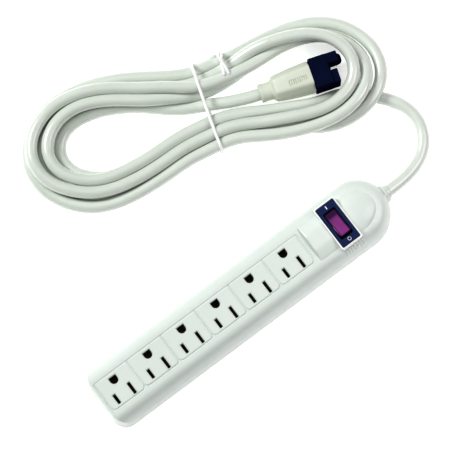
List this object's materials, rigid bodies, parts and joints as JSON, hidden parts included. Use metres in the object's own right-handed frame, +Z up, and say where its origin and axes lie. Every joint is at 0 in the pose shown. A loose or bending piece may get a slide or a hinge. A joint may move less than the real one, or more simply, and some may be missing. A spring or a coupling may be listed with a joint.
{
  "type": "power strip",
  "caption": "White plastic outlet strip with a lighted rocker breaker, grounded outlets and a long tied lead ending in a capped plug",
  "frame": {"origin": "Centre of the underside of the housing, on the surface the strip stands on; the lead, its hank and the plug lie beside it and are not counted.", "axes": "+X along the strip towards the end the lead leaves from, +Y across the strip towards the ground holes, +Z up out of the outlet face."},
  "size_m": [0.3, 0.2123, 0.0345],
  "materials": {
    "housing": "satin moulded, cool off-white",
    "frame": "bright white, smooth",
    "plate": "dark navy, faintly textured",
    "switch_body": "black phenolic",
    "rocker": "translucent deep red",
    "lamp": "clear, orange tinted",
    "brass": "stamped sheet",
    "steel": "zinc plated",
    "black_wire": "black insulation",
    "white_wire": "white insulation",
    "green_wire": "green insulation",
    "cord": "soft vinyl jacket, pale grey-green",
    "tie": "white coated wire",
    "plug": "soft moulded vinyl, warm ivory",
    "cap": "soft moulded vinyl, nearly black navy"
  },
  "bodies": {
    "housing": {"top_cover": "housing", "base_cover": "housing", "cover_screw_1": "steel", "cover_screw_2": "steel", "cover_screw_3": "steel", "cover_screw_4": "steel", "cover_screw_5": "steel", "cover_screw_6": "steel", "switch_frame": "frame", "switch_plate": "plate", "switch_body": "switch_body", "switch_terminal_line": "brass", "switch_terminal_load": "brass", "switch_terminal_lamp": "brass", "bimetal_strip": "steel", "neon_lamp": "lamp", "line_bus_bar": "brass", "neutral_bus_bar": "brass", "ground_bus_bar": "brass", "wire_line": "black_wire", "wire_load": "black_wire", "wire_neutral": "white_wire", "wire_ground": "green_wire", "strain_relief": "cord", "cord_lead": "cord", "cord_hank": "cord", "cord_plug_lead": "cord", "cord_tie": "tie", "plug_body": "plug", "plug_cap": "cap", "plug_blade_line": "brass", "plug_blade_neutral": "brass", "plug_ground_pin": "brass"},
    "rocker_assembly": {"rocker": "rocker", "rocker_plunger": "brass", "rocker_spring": "steel"},
    "contact_arm": {"contact_bridge": "brass"}
  },
  "joints": [
    {"name": "rocker_tilt", "type": "hinge", "parent": "housing", "child": "rocker_assembly", "pos_m": [0.0795, 0, 0.0294], "axis": [1, 0, 0], "range_deg": [0, 22]},
    {"name": "contact_tilt", "type": "hinge", "parent": "housing", "child": "contact_arm", "pos_m": [0.0795, 0, 0.0159], "axis": [-1, 0, 0], "range_deg": [0, 16]}
  ],
  "couplings": [
    {"joint": "contact_tilt", "follows": "rocker_tilt", "ratio": 0.727}
  ]
}
